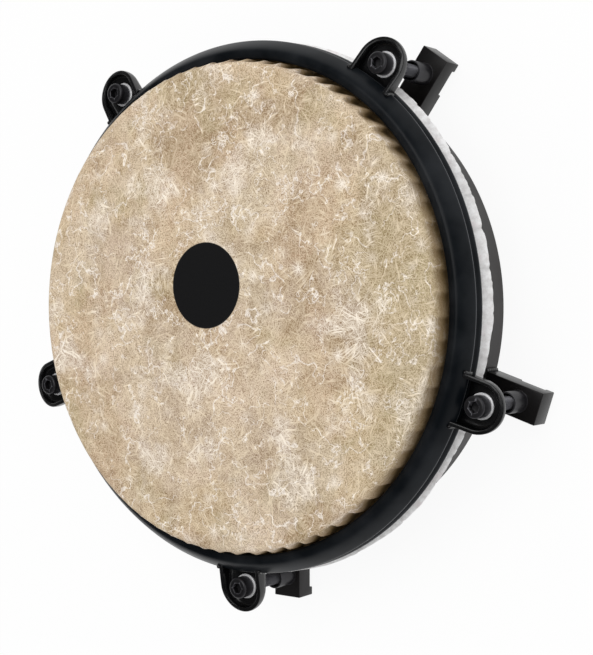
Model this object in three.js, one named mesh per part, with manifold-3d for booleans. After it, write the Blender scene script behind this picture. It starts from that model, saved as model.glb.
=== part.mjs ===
// A shallow conga: a film head over a steel ring, pulled tight by a hoop and five tuning bolts.
// Millimetres, +Z along the drum's axis, the rear edge of the shell on z = 0.
import * as THREE from "three";
import { mergeVertices } from "three/addons/utils/BufferGeometryUtils.js";
import Module from "manifold-3d";

const wasm = await Module();
wasm.setup();

// Driving dimensions

// Whole drum
const playingHeight = 84; // shell's rear edge to the playing surface
const fitGap = 0.3; // between pieces that touch on the real drum
const cutOverrun = 5; // how far a cutting body runs past what it cuts
const shortestFacet = 0.1;

// Shell ring
const shellRadius = 149.2;
const shellWall = 2;
const bearingRadius = 5; // outer radius of the rolled edge that carries the head

// Head film
const filmThickness = 0.5;
const pleatDepth = 1;
const pleatStartDepth = 8; // below the playing surface

// Counter hoop: reaches are from its inner edge outwards, drops from its crown downwards
const hoopThickness = 2.2;
const hoopClearance = 0.7; // between the pleats and the inner edge
const hoopCrownDepth = 13; // below the playing surface
const hoopInnerDrop = 1.6;
const hoopCrownReach = 4.3;
const hoopBulgeReach = 12.9;
const hoopBulgeDrop = 9;
const hoopCreaseReach = 9.9;
const hoopCreaseDrop = 14.4;
const hoopLipReach = 12.3;
const hoopLipDrop = 16.5;

// Flesh ring that the film is wrapped round
const fleshClearance = 3.2; // from the film on the shell
const fleshTopClearance = 0.6; // from the inside of the hoop's crown
const fleshWidth = 5.4;
const fleshHeight = 6.9;
const fleshCorner = 1.2;

// Trimmed film below the hoop
const tailTopClearance = 0.9; // from the flesh ring
const tailTopDrop = 4.2; // from the flesh ring's top
const tailNeckClearance = 0.2; // from the inside of the hoop's crease
const tailNeckDrop = 2; // below the hoop's lip
const tailFlare = 6.2;
const tailLength = 8.5; // neck to edge
const tailWave = 1.8; // how far the trimmed edge wanders up and down

// Tuning bolts and washers
const boltRadius = 4;
const boltHeadRadius = 6.5;
const boltHeadHeight = 8;
const boltChamfer = 0.8;
const boltEndClearance = 4.1; // from the foot of the barrel
const socketAcrossFlats = 6;
const socketDepth = 4.5;
const washerRadius = 8.2;
const washerThickness = 1.6;
const washerHoleClearance = 0.4;
const washerHoopClearance = 1.2; // between the washer and the hoop's bulge

// Ears on the hoop, one for each tuning bolt
const earHalfWidth = 15.5;
const earWall = 2.6;
const earFloor = 2.3;
const earCorner = 5.5;
const earRimDrop = 5; // rim at the hoop, below the hoop's crown
const earRimFall = 4.7; // how much lower the rim is at the round end
const earHoleClearance = 0.5;

// Arms and threaded barrels on the shell
const armWidth = 19.7;
const armThickness = 14.6;
const armOverhang = 14.2; // past the bolt's axis
const armLip = 5.2; // between the seat and the tip
const notchLength = 16.3;
const notchDepth = 2.5;
const barrelWall = 2.2;
const barrelLength = 14.5;
const barrelMouthLip = 1; // wall round the plain lead-in above the thread
const barrelMouthDepth = 3;
const barrelChamfer = 0.4;

// Counts
const lugCount = 5;
const pleatCount = 72;
const ringSteps = 60; // facets round a large ring, a multiple of the lug count and of four
const tailSteps = 120; // facets round the trimmed film
const roundSteps = 20; // facets round a small part
const arcSteps = 2; // facets round a bent stretch of sheet, twice as many round an arc
const tailWaveCounts = [7, 16, 29]; // waves of the trimmed edge round the drum
const tailWaveShares = [0.45, 0.33, 0.22];
const socketSides = 6;

// Places worked out from the sizes above
const fullTurn = 2 * Math.PI;
const firstLugAngle = -fullTurn / 4;
const bearingCentreRadius = shellRadius - bearingRadius;
const filmOuterRadius = shellRadius + fitGap + filmThickness;
const filmShoulder = filmOuterRadius - bearingCentreRadius;
const bearingCentreHeight = playingHeight - filmShoulder;
const hoopInnerRadius = filmOuterRadius + pleatDepth + hoopClearance;
const hoopCrownRadius = hoopInnerRadius + hoopCrownReach;
const hoopBulgeRadius = hoopInnerRadius + hoopBulgeReach;
const hoopCreaseRadius = hoopInnerRadius + hoopCreaseReach;
const hoopLipRadius = hoopInnerRadius + hoopLipReach;
const hoopCrownHeight = playingHeight - hoopCrownDepth;
const hoopLipHeight = hoopCrownHeight - hoopLipDrop;
const fleshInnerRadius = filmOuterRadius + fleshClearance;
const fleshOuterRadius = fleshInnerRadius + fleshWidth;
const fleshTop = hoopCrownHeight - hoopThickness - fleshTopClearance;
const fleshBottom = fleshTop - fleshHeight;
const tailTopRadius = fleshOuterRadius + tailTopClearance;
const tailTop = fleshTop - tailTopDrop;
const tailNeckRadius = hoopCreaseRadius - hoopThickness - tailNeckClearance;
const tailNeck = hoopLipHeight - tailNeckDrop;
const tailEdgeRadius = tailNeckRadius + tailFlare;
const tailEdge = tailNeck - tailLength;
const boltCircleRadius = hoopBulgeRadius + washerHoopClearance + washerRadius;
const earHoleRadius = boltRadius + earHoleClearance;
const earTipRadius = boltCircleRadius + earHalfWidth;
const earBottom = hoopLipHeight;
const earRimInner = hoopCrownHeight - earRimDrop;
const washerHoleRadius = boltRadius + washerHoleClearance;
const washerBottom = earBottom + earFloor + fitGap;
const boltHeadBottom = washerBottom + washerThickness + fitGap;
const barrelBottom = armThickness + fitGap;
const barrelBoreRadius = boltRadius + fitGap;
const barrelRadius = barrelBoreRadius + barrelWall;
const barrelMouthRadius = barrelRadius - barrelMouthLip;
const boltEnd = barrelBottom + boltEndClearance;
const armInnerRadius = shellRadius + fitGap;
const armTipRadius = boltCircleRadius + armOverhang;
const notchOuterRadius = armTipRadius - armLip;
const notchInnerRadius = notchOuterRadius - notchLength;

// Finishes
const finishes = {
  shell: new THREE.MeshStandardMaterial({ color: "#56524f", roughness: 0.5, metalness: 0.2 }),
  arm: new THREE.MeshStandardMaterial({ color: "#3a393c", roughness: 0.5, metalness: 0.2 }),
  barrel: new THREE.MeshStandardMaterial({ color: "#424145", roughness: 0.4, metalness: 0.3 }),
  hoop: new THREE.MeshStandardMaterial({ color: "#24262b", roughness: 0.45, metalness: 0.2 }),
  ear: new THREE.MeshStandardMaterial({ color: "#232327", roughness: 0.45, metalness: 0.2 }),
  washer: new THREE.MeshStandardMaterial({ color: "#e6e6ea", roughness: 0.2, metalness: 1 }),
  bolt: new THREE.MeshStandardMaterial({ color: "#2d2d30", roughness: 0.35, metalness: 0.8 }),
  ring: new THREE.MeshStandardMaterial({ color: "#c9cacd", roughness: 0.4, metalness: 1 }),
  skin: new THREE.MeshStandardMaterial({ color: "#cab79d", roughness: 0.7, metalness: 0 }),
  tail: new THREE.MeshStandardMaterial({ color: "#eceae8", roughness: 0.7, metalness: 0 }),
};

// Shared shape helpers

// Leaves only welded positions, with the faces turned outwards.
function closedGeometry(source) {
  const bare = source.clone();
  bare.deleteAttribute("normal");
  bare.deleteAttribute("uv");
  const welded = mergeVertices(bare);
  const position = welded.attributes.position;
  const index = Array.from(welded.index.array);
  const corners = [new THREE.Vector3(), new THREE.Vector3(), new THREE.Vector3()];
  const kept = [];
  let volume = 0;
  for (let i = 0; i < index.length; i += 3) {
    const face = index.slice(i, i + 3);
    if (new Set(face).size < face.length) {
      continue;
    }
    face.forEach((vertex, corner) => corners[corner].fromBufferAttribute(position, vertex));
    volume += corners[0].dot(corners[1].clone().cross(corners[2]));
    kept.push(face);
  }
  welded.setIndex(kept.flatMap((face) => (volume < 0 ? face.reverse() : face)));
  return welded;
}

function toSolid(geometry) {
  const closed = closedGeometry(geometry);
  const vertProperties = new Float32Array(closed.attributes.position.array);
  const triVerts = new Uint32Array(closed.index.array);
  return new wasm.Manifold(new wasm.Mesh({ numProp: 3, vertProperties, triVerts }));
}

function toGeometry(solid) {
  const mesh = solid.getMesh();
  const geometry = new THREE.BufferGeometry();
  geometry.setAttribute("position", new THREE.BufferAttribute(new Float32Array(mesh.vertProperties), 3));
  geometry.setIndex(Array.from(mesh.triVerts));
  geometry.computeVertexNormals();
  return geometry;
}

// Turns a closed outline of (radius, height) points about the Z axis.
function turned(outline, steps) {
  const points = outline.map((point) => new THREE.Vector2(point.x, point.y));
  points.push(points[0].clone());
  const geometry = closedGeometry(new THREE.LatheGeometry(points, steps));
  geometry.rotateX(fullTurn / 4);
  geometry.computeVertexNormals();
  return geometry;
}

// Closes an open line of (radius, height) points into sheet of the given thickness, laid on its left.
function sheetOutline(line, thickness) {
  const normals = line.map((point, i) => {
    const before = line[Math.max(i - 1, 0)];
    const after = line[Math.min(i + 1, line.length - 1)];
    const along = after.clone().sub(before).normalize();
    return new THREE.Vector2(-along.y, along.x);
  });
  const inner = line.map((point, i) => point.clone().addScaledVector(normals[i], thickness));
  return [...line, ...inner.reverse()];
}

function extruded(shape, depth, edge) {
  return new THREE.ExtrudeGeometry(shape, {
    depth: depth - 2 * edge,
    bevelEnabled: edge > 0,
    bevelThickness: edge,
    bevelSize: edge,
    bevelOffset: -edge,
    bevelSegments: arcSteps,
    curveSegments: roundSteps / 4,
  }).translate(0, 0, edge);
}

function piece(name, geometry, finish) {
  const mesh = new THREE.Mesh(geometry, finish);
  mesh.name = name;
  return mesh;
}

// Shell ring: one rolled steel band whose front edge turns in to carry the head
function makeShellRing() {
  const line = new THREE.Path();
  const rolledEdgeEnd = fullTurn / 3;
  line.moveTo(shellRadius, 0);
  line.lineTo(shellRadius, bearingCentreHeight);
  line.absarc(bearingCentreRadius, bearingCentreHeight, bearingRadius, 0, rolledEdgeEnd);
  return piece("shell_ring", turned(sheetOutline(line.getPoints(arcSteps), shellWall), ringSteps), finishes.shell);
}

// Playing surface: the flat of the head, which lies on the rolled edge
function makePlayingSkin() {
  const radius = bearingCentreRadius - fitGap;
  const bottom = playingHeight - filmThickness;
  const outline = [
    new THREE.Vector2(0, bottom),
    new THREE.Vector2(radius, bottom),
    new THREE.Vector2(radius, playingHeight),
    new THREE.Vector2(0, playingHeight),
  ];
  return piece("playing_skin", turned(outline, ringSteps), finishes.skin);
}

// Collar of the head: over the rolled edge, down the shell in pleats and out under the flesh ring
function makeHeadCollar() {
  const underRing = fleshBottom - fitGap;
  const line = new THREE.Path();
  line.moveTo((fleshInnerRadius + fleshOuterRadius) / 2, underRing - filmThickness);
  line.lineTo(fleshInnerRadius, underRing - filmThickness);
  line.lineTo(filmOuterRadius, underRing + fleshCorner);
  line.lineTo(filmOuterRadius, playingHeight - pleatStartDepth);
  line.lineTo(filmOuterRadius, bearingCentreHeight);
  line.absarc(bearingCentreRadius, bearingCentreHeight, filmShoulder, 0, fullTurn / 4);
  const geometry = turned(sheetOutline(line.getPoints(arcSteps), filmThickness), 2 * pleatCount);
  const position = geometry.attributes.position;
  for (let i = 0; i < position.count; i += 1) {
    const radius = Math.hypot(position.getX(i), position.getY(i));
    const depth = playingHeight - position.getZ(i);
    const pleatAngle = (Math.atan2(position.getY(i), position.getX(i)) - firstLugAngle) * pleatCount;
    const belowShoulder = depth > (filmShoulder + pleatStartDepth) / 2 ? 1 : 0;
    const aboveRing = radius > fleshInnerRadius - fitGap ? 0 : 1;
    const swell = pleatDepth * belowShoulder * aboveRing * (0.5 + 0.5 * Math.cos(pleatAngle));
    const scale = (radius + swell) / radius;
    position.setX(i, position.getX(i) * scale);
    position.setY(i, position.getY(i) * scale);
  }
  geometry.computeVertexNormals();
  return piece("head_collar", geometry, finishes.skin);
}

// Flesh ring: a bar with eased corners, held under the hoop
function makeFleshRing() {
  const outline = new THREE.Path();
  outline.moveTo(fleshInnerRadius + fleshCorner, fleshBottom);
  outline.lineTo(fleshOuterRadius - fleshCorner, fleshBottom);
  outline.lineTo(fleshOuterRadius, fleshBottom + fleshCorner);
  outline.lineTo(fleshOuterRadius, fleshTop - fleshCorner);
  outline.lineTo(fleshOuterRadius - fleshCorner, fleshTop);
  outline.lineTo(fleshInnerRadius + fleshCorner, fleshTop);
  outline.lineTo(fleshInnerRadius, fleshTop - fleshCorner);
  outline.lineTo(fleshInnerRadius, fleshBottom + fleshCorner);
  return piece("flesh_ring", turned(outline.getPoints(), ringSteps), finishes.ring);
}

// Outer face of the hoop from its inner edge over the crown and down to the lip
function hoopLine() {
  const inner = new THREE.Vector2(hoopInnerRadius, hoopCrownHeight - hoopInnerDrop);
  const crown = new THREE.Vector2(hoopCrownRadius, hoopCrownHeight);
  const bulge = new THREE.Vector2(hoopBulgeRadius, hoopCrownHeight - hoopBulgeDrop);
  const crease = new THREE.Vector2(hoopCreaseRadius, hoopCrownHeight - hoopCreaseDrop);
  const lip = new THREE.Vector2(hoopLipRadius, hoopLipHeight);
  const line = new THREE.Path();
  line.moveTo(inner.x, inner.y);
  line.quadraticCurveTo(inner.x, crown.y, crown.x, crown.y);
  line.absellipse(crown.x, bulge.y, bulge.x - crown.x, crown.y - bulge.y, fullTurn / 4, 0, true);
  line.quadraticCurveTo(bulge.x, (bulge.y + crease.y) / 2, crease.x, crease.y);
  line.quadraticCurveTo(crease.x, lip.y, lip.x, lip.y);
  const points = line.getPoints(arcSteps);
  return points.filter((point, i) => i === 0 || point.distanceTo(points[i - 1]) > shortestFacet);
}

function makeCounterHoop() {
  const outline = sheetOutline(hoopLine().reverse(), hoopThickness);
  return piece("counter_hoop", turned(outline, ringSteps), finishes.hoop);
}

// The film left below the hoop, with an uneven trimmed edge
function makeFilmTail() {
  const line = new THREE.Path();
  const bendRadius = (tailNeckRadius + tailEdgeRadius) / 2;
  const bendHeight = (tailNeck + 2 * tailEdge) / 3;
  line.moveTo(tailEdgeRadius, tailEdge);
  line.quadraticCurveTo(bendRadius, bendHeight, tailNeckRadius, tailNeck);
  line.lineTo(tailTopRadius, tailTop);
  const geometry = turned(sheetOutline(line.getPoints(arcSteps), filmThickness), tailSteps);
  const position = geometry.attributes.position;
  for (let i = 0; i < position.count; i += 1) {
    const angle = Math.atan2(position.getY(i), position.getX(i));
    const edgeShare = THREE.MathUtils.clamp((tailNeck - position.getZ(i)) / tailLength, 0, 1);
    const wave = tailWaveCounts.reduce(
      (sum, count, order) => sum + tailWaveShares[order] * Math.sin(count * angle + order),
      0,
    );
    position.setZ(i, position.getZ(i) + tailWave * wave * edgeShare);
  }
  geometry.computeVertexNormals();
  return piece("film_tail", geometry, finishes.tail);
}

// Plan of an ear at a given distance inside its outer face, with X pointing away from the drum
function earPlan(inset) {
  const plan = new THREE.Shape();
  const halfWidth = earHalfWidth - inset;
  plan.moveTo(hoopInnerRadius, -halfWidth);
  plan.lineTo(boltCircleRadius, -halfWidth);
  plan.absarc(boltCircleRadius, 0, halfWidth, -fullTurn / 4, fullTurn / 4);
  plan.lineTo(hoopInnerRadius, halfWidth);
  return plan;
}

// Ear: a pressed cup with a U-shaped wall, its rim falling away from the hoop
function makeEarGeometry() {
  const height = playingHeight - earBottom;
  const outer = extruded(earPlan(0), height, earCorner).translate(0, 0, earBottom);
  const hollow = extruded(earPlan(earWall), height, earCorner - earWall).translate(0, 0, earBottom + earFloor);
  const hole = new THREE.CylinderGeometry(earHoleRadius, earHoleRadius, height, roundSteps);
  hole.rotateX(fullTurn / 4).translate(boltCircleRadius, 0, earBottom);
  const rimAngle = Math.atan2(earRimFall, earTipRadius - hoopCreaseRadius);
  const rimCut = new THREE.BoxGeometry(2 * boltCircleRadius, 4 * earHalfWidth, height);
  rimCut.translate(0, 0, height / 2).rotateY(rimAngle);
  rimCut.translate(hoopCreaseRadius, 0, earRimInner);
  const hoopFace = hoopLine();
  const cutterLine = sheetOutline(hoopFace, fitGap).slice(hoopFace.length).reverse();
  const cutterTop = new THREE.Vector2(hoopInnerRadius - cutOverrun, playingHeight);
  const cutterBottom = new THREE.Vector2(hoopInnerRadius - cutOverrun, earBottom - cutOverrun);
  const lipEnd = cutterLine[cutterLine.length - 1];
  const belowLip = new THREE.Vector2(lipEnd.x, earBottom - cutOverrun);
  const hoopBody = turned([cutterTop, ...cutterLine, belowLip, cutterBottom], ringSteps);
  const ear = toSolid(outer)
    .subtract(toSolid(hollow))
    .subtract(toSolid(hole))
    .subtract(toSolid(rimCut))
    .subtract(toSolid(hoopBody));
  return toGeometry(ear);
}

// Washer under a bolt's head
function makeWasherGeometry() {
  const top = washerBottom + washerThickness;
  const outline = [
    new THREE.Vector2(washerHoleRadius, washerBottom),
    new THREE.Vector2(washerRadius, washerBottom),
    new THREE.Vector2(washerRadius, top),
    new THREE.Vector2(washerHoleRadius, top),
  ];
  return turned(outline, roundSteps).translate(boltCircleRadius, 0, 0);
}

// Tuning bolt: a cap screw with a hexagon socket
function makeBoltGeometry() {
  const top = boltHeadBottom + boltHeadHeight;
  const outline = [
    new THREE.Vector2(0, boltEnd),
    new THREE.Vector2(boltRadius - boltChamfer, boltEnd),
    new THREE.Vector2(boltRadius, boltEnd + boltChamfer),
    new THREE.Vector2(boltRadius, boltHeadBottom),
    new THREE.Vector2(boltHeadRadius, boltHeadBottom),
    new THREE.Vector2(boltHeadRadius, top - boltChamfer),
    new THREE.Vector2(boltHeadRadius - boltChamfer, top),
    new THREE.Vector2(0, top),
  ];
  const socketRadius = socketAcrossFlats / Math.sqrt(3);
  const socketHeight = socketDepth + cutOverrun;
  const socket = new THREE.CylinderGeometry(socketRadius, socketRadius, socketHeight, socketSides);
  socket.rotateX(fullTurn / 4).translate(0, 0, top - socketDepth + socketHeight / 2);
  return toGeometry(toSolid(turned(outline, roundSteps)).subtract(toSolid(socket)));
}

// Arm: a block on the shell with a seat cut in its rear face
function makeArmGeometry() {
  const side = new THREE.Shape();
  side.moveTo(armInnerRadius, 0);
  side.lineTo(notchInnerRadius, 0);
  side.lineTo(notchInnerRadius, notchDepth);
  side.lineTo(notchOuterRadius, notchDepth);
  side.lineTo(notchOuterRadius, 0);
  side.lineTo(armTipRadius, 0);
  side.lineTo(armTipRadius, armThickness);
  side.lineTo(armInnerRadius, armThickness);
  const geometry = new THREE.ExtrudeGeometry(side, { depth: armWidth, bevelEnabled: false });
  return closedGeometry(geometry.rotateX(fullTurn / 4).translate(0, armWidth / 2, 0));
}

// Barrel: the threaded tube that takes a tuning bolt
function makeBarrelGeometry() {
  const top = barrelBottom + barrelLength;
  const outline = [
    new THREE.Vector2(barrelBoreRadius, barrelBottom),
    new THREE.Vector2(barrelRadius, barrelBottom),
    new THREE.Vector2(barrelRadius, top - barrelChamfer),
    new THREE.Vector2(barrelRadius - barrelChamfer, top),
    new THREE.Vector2(barrelMouthRadius, top),
    new THREE.Vector2(barrelMouthRadius, top - barrelMouthDepth),
    new THREE.Vector2(barrelBoreRadius, top - barrelMouthDepth),
  ];
  return turned(outline, roundSteps).translate(boltCircleRadius, 0, 0);
}

const conga = new THREE.Group();
conga.add(makeShellRing(), makePlayingSkin(), makeHeadCollar(), makeFleshRing());
conga.add(makeCounterHoop(), makeFilmTail());

const armGeometry = makeArmGeometry();
const barrelGeometry = makeBarrelGeometry();
const earGeometry = makeEarGeometry();
const washerGeometry = makeWasherGeometry();
const boltGeometry = makeBoltGeometry();

for (let i = 0; i < lugCount; i += 1) {
  const angle = firstLugAngle + (i * fullTurn) / lugCount;
  const lug = new THREE.Group();
  lug.rotation.z = angle;
  lug.add(
    piece(`stand_arm_${i + 1}`, armGeometry, finishes.arm),
    piece(`tuning_barrel_${i + 1}`, barrelGeometry, finishes.barrel),
    piece(`hoop_ear_${i + 1}`, earGeometry, finishes.ear),
    piece(`ear_washer_${i + 1}`, washerGeometry, finishes.washer),
  );
  const bolt = piece(`tuning_bolt_${i + 1}`, boltGeometry, finishes.bolt);
  bolt.position.x = boltCircleRadius;
  bolt.rotation.z = -angle;
  lug.add(bolt);
  conga.add(lug);
}

export default conga;
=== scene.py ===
# Shallow conga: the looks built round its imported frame, in metres, with the drum's axis along Z.
# Places and sizes in the dictionaries are in millimetres, as (distance from the axis, height).
import math
import random
from functools import partial

import bmesh
import bpy
from mathutils import Matrix, Vector, noise


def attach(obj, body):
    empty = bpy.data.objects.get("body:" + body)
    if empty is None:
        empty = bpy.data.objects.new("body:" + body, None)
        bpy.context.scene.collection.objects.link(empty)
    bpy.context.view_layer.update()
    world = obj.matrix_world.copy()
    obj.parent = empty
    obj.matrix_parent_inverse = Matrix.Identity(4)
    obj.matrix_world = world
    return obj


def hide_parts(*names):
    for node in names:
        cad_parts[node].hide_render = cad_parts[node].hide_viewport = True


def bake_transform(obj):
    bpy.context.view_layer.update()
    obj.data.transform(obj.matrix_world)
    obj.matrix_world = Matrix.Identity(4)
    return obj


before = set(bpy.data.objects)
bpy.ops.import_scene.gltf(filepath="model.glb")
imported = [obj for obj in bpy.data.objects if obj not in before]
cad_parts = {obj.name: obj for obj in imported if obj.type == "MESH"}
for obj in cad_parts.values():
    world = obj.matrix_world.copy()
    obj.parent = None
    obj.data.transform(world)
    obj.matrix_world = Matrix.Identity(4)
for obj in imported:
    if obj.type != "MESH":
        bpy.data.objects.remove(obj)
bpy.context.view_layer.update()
mm = 0.001
sameSpot = 0.001 * mm  # points nearer than this are merged
onPlane = 0.01 * mm  # points nearer than this to a plane are on it
fullTurn = 2 * math.pi
print("frame loaded:", len(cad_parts), "nodes")


# Selecting, drawing and finishing

def deselectAll():
    if bpy.context.object and bpy.context.object.mode != "OBJECT":
        bpy.ops.object.mode_set(mode="OBJECT")
    bpy.ops.object.select_all(action="DESELECT")


def makeActive(piece):
    deselectAll()
    piece.select_set(True)
    bpy.context.view_layer.objects.active = piece


def selectAll():
    bpy.ops.mesh.select_all(action="SELECT")


def edit(piece):
    makeActive(piece)
    bpy.ops.object.mode_set(mode="EDIT")
    selectAll()


# In edit mode, selects the edges or the faces that pass a test
def selectWhere(piece, kind, passes):
    bpy.ops.mesh.select_mode(type=kind)
    bpy.ops.mesh.select_all(action="DESELECT")
    mesh = bmesh.from_edit_mesh(piece.data)
    for part in mesh.edges if kind == "EDGE" else mesh.faces:
        part.select = passes(part)
    bmesh.update_edit_mesh(piece.data)


def faceOutwards():
    selectAll()
    bpy.ops.mesh.normals_make_consistent(inside=False)


def named(name):
    piece = bpy.context.object
    piece.name = name
    piece.data.name = name
    return piece


def arc(centre, radii, fromDegrees, toDegrees, steps):
    points = []
    for i in range(steps + 1):
        angle = math.radians(fromDegrees + (toDegrees - fromDegrees) * i / steps)
        out, up = radii[0] * math.cos(angle), radii[1] * math.sin(angle)
        points.append((centre[0] + out, centre[1] + up))
    return points


# A smooth bend from start to end, drawn out towards pull
def bent(start, pull, end, steps):
    points = []
    for i in range(steps + 1):
        t = i / steps
        weights = ((1 - t) ** 2, 2 * t * (1 - t), t * t)
        points.append(tuple(
            sum(w * p[k] for w, p in zip(weights, (start, pull, end))) for k in (0, 1)
        ))
    return points


def smoothStep(low, high, value):
    t = min(max((value - low) / (high - low), 0), 1)
    return t * t * (3 - 2 * t)


# One vertex, extruded from point to point; it is left in edit mode, all selected
def drawn(name, points, closed):
    deselectAll()
    bpy.ops.mesh.primitive_plane_add(size=mm)
    piece = named(name)
    bpy.ops.object.mode_set(mode="EDIT")
    bpy.ops.mesh.select_mode(type="VERT")
    selectAll()
    bpy.ops.mesh.merge(type="CENTER")
    places = [Vector(point) * mm for point in points]
    bpy.ops.transform.translate(value=places[0])
    last = places[0]
    for spot in places[1:] + (places[:1] if closed else []):
        bpy.ops.mesh.extrude_region_move(TRANSFORM_OT_translate={"value": spot - last})
        last = spot
    selectAll()
    bpy.ops.mesh.remove_doubles(threshold=sameSpot)
    return piece


# A section spun about the drum's axis, or about an upright axis at the distance centre;
# one sector is spun and then repeated, because that is much quicker
def turned(name, section, steps, closed=True, centre=0):
    piece = drawn(name, [(x + centre, 0, z) for x, z in section], closed)
    sectors = 12
    sector = fullTurn / sectors
    axle = {"center": (centre * mm, 0, 0), "axis": (0, 0, 1)}
    bpy.ops.mesh.spin(steps=steps // sectors, angle=sector, **axle)
    selectAll()
    bpy.ops.mesh.spin(steps=sectors - 1, angle=(sectors - 1) * sector, dupli=True, **axle)
    selectAll()
    bpy.ops.mesh.remove_doubles(threshold=2 * sameSpot)
    faceOutwards()
    bpy.ops.object.mode_set(mode="OBJECT")
    return piece


def finishWith(piece, kind, **settings):
    makeActive(piece)
    bpy.ops.object.modifier_add(type=kind)
    modifier = piece.modifiers[-1]
    for key, value in settings.items():
        setattr(modifier, key, value)
    bpy.ops.object.modifier_apply(modifier=modifier.name)


# Rounds every edge that is sharper than the angle
def easeEdges(piece, radius, degrees):
    finishWith(
        piece, "BEVEL", width=radius * mm, segments=3, limit_method="ANGLE",
        angle_limit=math.radians(degrees),
    )


def thicken(piece, thickness):
    finishWith(piece, "SOLIDIFY", thickness=thickness * mm, offset=-1, use_even_offset=True)


def smooth(piece, degrees):
    makeActive(piece)
    bpy.ops.object.shade_smooth_by_angle(angle=math.radians(degrees))
    return piece


def joined(pieces):
    deselectAll()
    for piece in pieces:
        piece.select_set(True)
    bpy.context.view_layer.objects.active = pieces[0]
    bpy.ops.object.join()
    return pieces[0]


# Cuts an upright hole, or a socket where its sides are few, at the distance and height of spot
def drill(piece, sides, radius, depth, spot):
    deselectAll()
    bpy.ops.mesh.primitive_cylinder_add(
        vertices=sides, radius=radius * mm, depth=depth * mm,
        location=(spot[0] * mm, 0, spot[1] * mm),
    )
    cutter = named("cutter")
    finishWith(piece, "BOOLEAN", operation="DIFFERENCE", solver="EXACT", object=cutter)
    makeActive(cutter)
    bpy.ops.object.delete()


# A run of weld: blobs that overlap, fused and eased
weld = {"wander": 0.12, "sizes": (0.85, 1.15), "fusing": 0.45, "easings": 3}


def weldBead(name, points, radius, seed):
    pick = random.Random(seed)
    blobs = []
    for point in points:
        deselectAll()
        spot = [(c + pick.uniform(-weld["wander"], weld["wander"])) * mm for c in point]
        size = radius * pick.uniform(*weld["sizes"]) * mm
        bpy.ops.mesh.primitive_ico_sphere_add(subdivisions=2, radius=size, location=spot)
        blobs.append(named(name))
    bead = joined(blobs)
    bpy.ops.object.transform_apply(location=True, rotation=True, scale=True)
    finishWith(bead, "REMESH", mode="VOXEL", voxel_size=weld["fusing"] * mm)
    finishWith(bead, "SMOOTH", factor=0.5, iterations=weld["easings"])
    return bead


# Nodes and colours

# A hex colour of the screen, turned to linear light
def colour(hexValue):
    shares = [int(hexValue[i:i + 2], 16) / 255 for i in (1, 3, 5)]
    return [c / 12.92 if c <= 0.04045 else ((c + 0.055) / 1.055) ** 2.4 for c in shares] + [1]


# Adds a node with its settings and its inputs' values or links; an operation follows its kind.
# A Mix node of colours takes its share at input 0 and its two colours at inputs 6 and 7, and
# gives its result at output 2.
def addNode(tree, kind, inputs=(), out=0, **settings):
    kind, *operation = kind.split()
    node = tree.nodes.new("ShaderNode" + kind)
    if operation:
        node.operation = operation[0]
    for key, value in settings.items():
        setattr(node, key, value)
    for key, value in inputs.items() if isinstance(inputs, dict) else enumerate(inputs):
        if isinstance(value, bpy.types.NodeSocket):
            tree.links.new(value, node.inputs[key])
        else:
            node.inputs[key].default_value = value
    return node.outputs[out]


softly = {"interpolation_type": "SMOOTHSTEP"}  # a Map Range without corners
noiseSpan = (0.3, 0.7)  # nearly all of a noise lies between these


# A material, the function that adds nodes to it, and its shader
def newMaterial(name):
    material = bpy.data.materials.new(name)
    material.use_nodes = True
    tree = material.node_tree
    return material, partial(addNode, tree), tree.nodes["Principled BSDF"]


# Object coordinates in millimetres, so that the size of every pattern is a real one
def inMillimetres(add):
    place = add("TexCoord", out="Object")
    return add("VectorMath SCALE", {0: place, "Scale": 1000})


# Gives the shader its colour, its roughness by a Map Range of a pattern, and its relief by a
# pattern and a depth in millimetres
def finishShader(add, shader, tone, rough, relief=None):
    links = shader.id_data.links
    links.new(tone, shader.inputs["Base Color"])
    links.new(add("MapRange", rough), shader.inputs["Roughness"])
    if relief:
        height, depth = relief
        bump = add("Bump", {"Height": height, "Distance": depth * mm, "Strength": 0.5})
        links.new(bump, shader.inputs["Normal"])


# Gives a piece its material and the body it rides on, and hides the CAD nodes it stands for
def dress(piece, material, body, node, slotName):
    piece.data.materials.clear()
    piece.data.materials.append(material)
    if body:
        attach(piece, body)
    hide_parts(*node)


# Camera, at the photograph's angle

cameraView = {
    "location": (0.5307, 0.00848, 0.73715),  # metres
    "turn": (-1.442, 35.886, -0.097),  # degrees
    "lens": 76.058,
    "sensor": 36,
}
deselectAll()
bpy.ops.object.camera_add(location=cameraView["location"])
camera = bpy.context.object
camera.rotation_euler = [math.radians(a) for a in cameraView["turn"]]
camera.data.lens = cameraView["lens"]
camera.data.sensor_width = cameraView["sensor"]
camera.data.clip_start = 0.01
bpy.context.scene.camera = camera


# Head: a film over the shell's edge, smooth on top, that leans out to the hoop in knife pleats

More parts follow.
